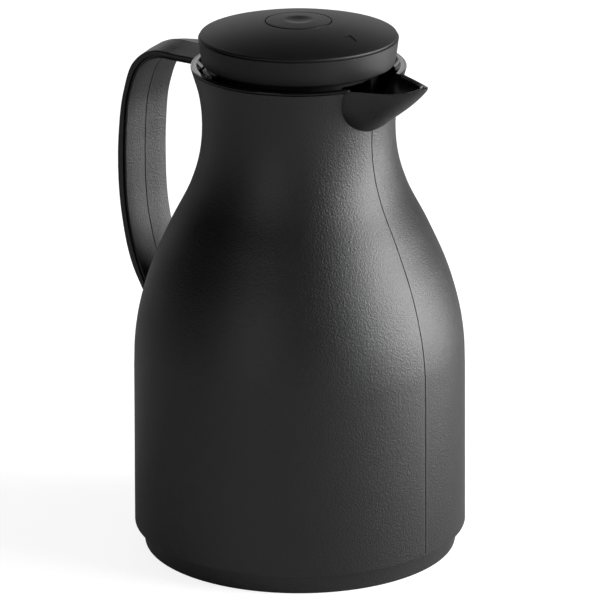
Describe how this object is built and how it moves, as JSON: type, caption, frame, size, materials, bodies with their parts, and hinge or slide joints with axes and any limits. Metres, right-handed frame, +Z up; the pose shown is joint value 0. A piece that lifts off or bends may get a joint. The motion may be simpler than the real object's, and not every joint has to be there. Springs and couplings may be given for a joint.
{
  "type": "thermal carafe",
  "caption": "Insulated pouring carafe with a pear-shaped moulded casing, beak spout, strap handle, glass vacuum flask and a screw-in stopper with a push-button pour valve.",
  "frame": {"origin": "centre of the foot, on the surface the carafe stands on", "axes": "+Z up along the carafe's axis, +X towards the spout, handle on -X, symmetric about y = 0"},
  "size_m": [0.1702, 0.1464, 0.2367],
  "materials": {
    "casing_black": "moulded polypropylene, fine grain",
    "collar_black": "polished moulded plastic",
    "stopper_black": "moulded polypropylene, smooth",
    "seal_silicone": "soft translucent silicone",
    "cushion_foam": "foamed rubber",
    "mirror_glass": "silvered glass",
    "spacer_pad": "pressed fibre pad",
    "latch_plastic": "acetal, natural",
    "stainless": "drawn stainless steel"
  },
  "bodies": {
    "vessel": {"casing": "casing_black", "handle": "casing_black", "neck_collar": "collar_black", "mouth_seal": "seal_silicone", "flask_outer": "mirror_glass", "flask_inner": "mirror_glass", "vacuum_spacers": "spacer_pad", "shoulder_cushion": "cushion_foam", "tip_cushion": "cushion_foam", "base_plate": "casing_black"},
    "seal": {"stopper_seal": "seal_silicone"},
    "stopper": {"lid_cap": "casing_black", "stopper_plug": "stopper_black", "latch_guide": "latch_plastic", "stem_seal": "seal_silicone", "return_spring": "stainless"},
    "button": {"push_button": "casing_black", "valve_stem": "stainless", "valve_disc": "stopper_black", "valve_seal": "seal_silicone", "valve_screw": "stainless"},
    "rotor": {"latch_rotor": "latch_plastic"}
  },
  "joints": [
    {"name": "stopper_rise", "type": "slide", "parent": "vessel", "child": "seal", "axis": [0, 0, 1], "range_m": [0, 0.06]},
    {"name": "stopper_turn", "type": "hinge", "parent": "seal", "child": "stopper", "pos_m": [0, 0, 0.2], "axis": [0, 0, 1], "range_deg": [0, 720]},
    {"name": "button_press", "type": "slide", "parent": "stopper", "child": "button", "axis": [0, 0, -1], "range_m": [0, 0.0045], "stiffness_N_per_m": 400, "springref_m": -0.004, "deforming": ["return_spring"]},
    {"name": "latch_turn", "type": "hinge", "parent": "button", "child": "rotor", "pos_m": [0, 0, 0.2188], "axis": [0, 0, 1], "range_deg": [0, 22.5]}
  ],
  "couplings": [
    {"joint": "stopper_rise", "follows": "stopper_turn", "m_per_rad": 0.0047746},
    {"joint": "latch_turn", "follows": "button_press", "rad_per_m": 87.266}
  ]
}
